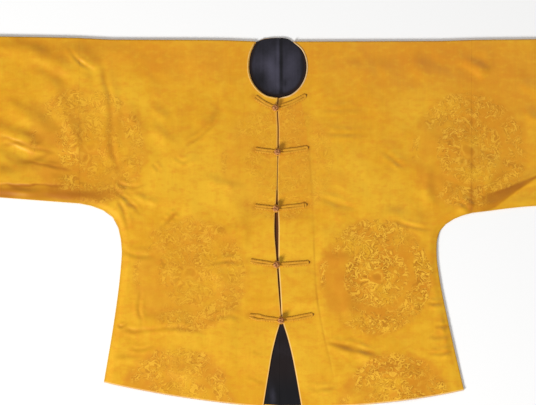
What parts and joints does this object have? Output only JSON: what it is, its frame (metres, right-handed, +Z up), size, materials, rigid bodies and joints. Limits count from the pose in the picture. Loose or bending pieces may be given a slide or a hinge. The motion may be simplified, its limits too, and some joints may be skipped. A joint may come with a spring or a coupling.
{
  "type": "magua jacket",
  "caption": "Short Chinese riding jacket of figured silk, laid flat, with straight wide sleeves, a round neck and a front closed by knotted frogs.",
  "frame": {"origin": "middle of the jacket's footprint, on the surface that it lies on", "axes": "+X from the left cuff to the right cuff as seen from above, +Y from the hem towards the neck, +Z up off the surface, out of the front of the jacket"},
  "size_m": [1.4, 0.742, 0.0166],
  "materials": {
    "silk": "golden yellow silk damask, soft satin sheen",
    "lining": "navy silk lining, low sheen",
    "binding": "pale gold silk edging, satin",
    "cord": "rolled golden silk cord, satin"
  },
  "bodies": {
    "root": {"front_left": "silk", "back_left": "silk", "front_right": "silk", "back_right": "silk", "sleeve_left": "silk", "sleeve_right": "silk", "lining_left": "lining", "lining_right": "lining", "neck_binding_left": "binding", "neck_binding_right": "binding", "frog_1_loop": "cord", "frog_1_knot": "cord", "frog_2_loop": "cord", "frog_2_knot": "cord", "frog_3_loop": "cord", "frog_3_knot": "cord", "frog_4_loop": "cord", "frog_4_knot": "cord", "frog_5_loop": "cord", "frog_5_knot": "cord"}
  },
  "joints": []
}
